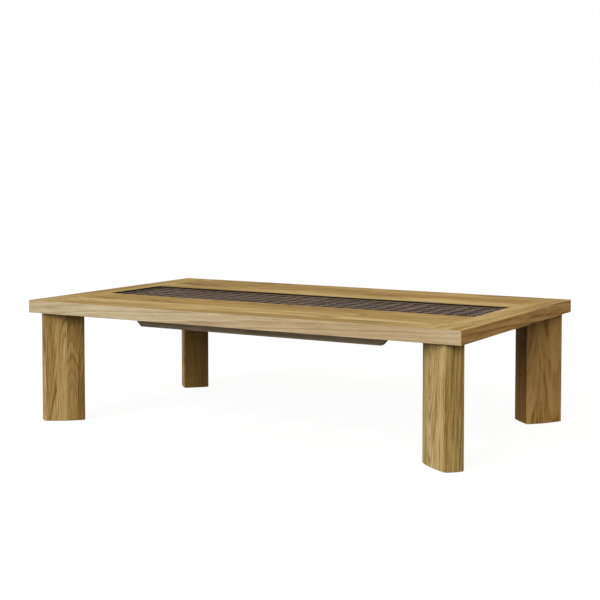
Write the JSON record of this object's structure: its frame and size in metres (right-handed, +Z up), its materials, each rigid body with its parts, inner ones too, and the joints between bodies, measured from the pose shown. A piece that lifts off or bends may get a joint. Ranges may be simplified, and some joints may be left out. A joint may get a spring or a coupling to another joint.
{
  "type": "low table",
  "caption": "Low rectangular oak table with broad legs set on the corner diagonals and a long inset with a dark double-bar lattice under glass.",
  "frame": {"origin": "on the floor under the middle of the table", "axes": "+X along the length of the table to the right, +Y to the back, +Z up"},
  "size_m": [1.35, 0.8, 0.35],
  "materials": {
    "oak_top": "satin lacquered natural oak, grain along the table",
    "oak_end": "satin lacquered natural oak, grain across the table",
    "oak_lipping": "satin lacquered natural oak, pale",
    "oak_leg": "satin lacquered natural oak, upright grain",
    "stained_oak": "oak stained a pale grey brown, satin",
    "underframe_wood": "plain hardwood, oiled",
    "beech": "bare beech",
    "lattice_wood": "thin bars stained dark grey brown, matt",
    "dark_plywood": "plywood stained dark brown, matt",
    "glass": "clear polished float glass",
    "clear_bumper": "soft clear silicone",
    "plate_steel": "zinc plated steel sheet",
    "fastener_steel": "zinc plated steel",
    "insert_brass": "plain brass",
    "felt": "pressed brown felt"
  },
  "bodies": {
    "root": {"front_board": "oak_top", "back_board": "oak_top", "left_end_board": "oak_end", "right_end_board": "oak_end", "front_lipping": "oak_lipping", "back_lipping": "oak_lipping", "left_lipping": "oak_lipping", "right_lipping": "oak_lipping", "front_left_leg": "oak_leg", "front_right_leg": "oak_leg", "back_right_leg": "oak_leg", "back_left_leg": "oak_leg", "front_apron": "stained_oak", "back_apron": "stained_oak", "left_cross_rail": "underframe_wood", "middle_cross_rail": "underframe_wood", "right_cross_rail": "underframe_wood", "front_ledger": "underframe_wood", "back_ledger": "underframe_wood", "left_ledger": "underframe_wood", "right_ledger": "underframe_wood", "front_left_tongue": "beech", "front_right_tongue": "beech", "back_right_tongue": "beech", "back_left_tongue": "beech", "cross_rail_dowels": "beech", "lattice_front_rail": "lattice_wood", "lattice_back_rail": "lattice_wood", "lattice_left_rail": "lattice_wood", "lattice_right_rail": "lattice_wood", "lattice_long_bars": "lattice_wood", "lattice_cross_bars": "lattice_wood", "inset_panel": "dark_plywood", "glass_panel": "glass", "glass_bumpers": "clear_bumper", "front_left_leg_plate": "plate_steel", "front_right_leg_plate": "plate_steel", "back_right_leg_plate": "plate_steel", "back_left_leg_plate": "plate_steel", "ledger_screws": "fastener_steel", "apron_screws": "fastener_steel", "cross_rail_screws": "fastener_steel", "leg_plate_screws": "fastener_steel", "leg_bolts": "fastener_steel", "leg_bolt_washers": "fastener_steel", "leg_insert_nuts": "insert_brass", "front_left_foot_pad": "felt", "front_right_foot_pad": "felt", "back_right_foot_pad": "felt", "back_left_foot_pad": "felt"}
  },
  "joints": []
}
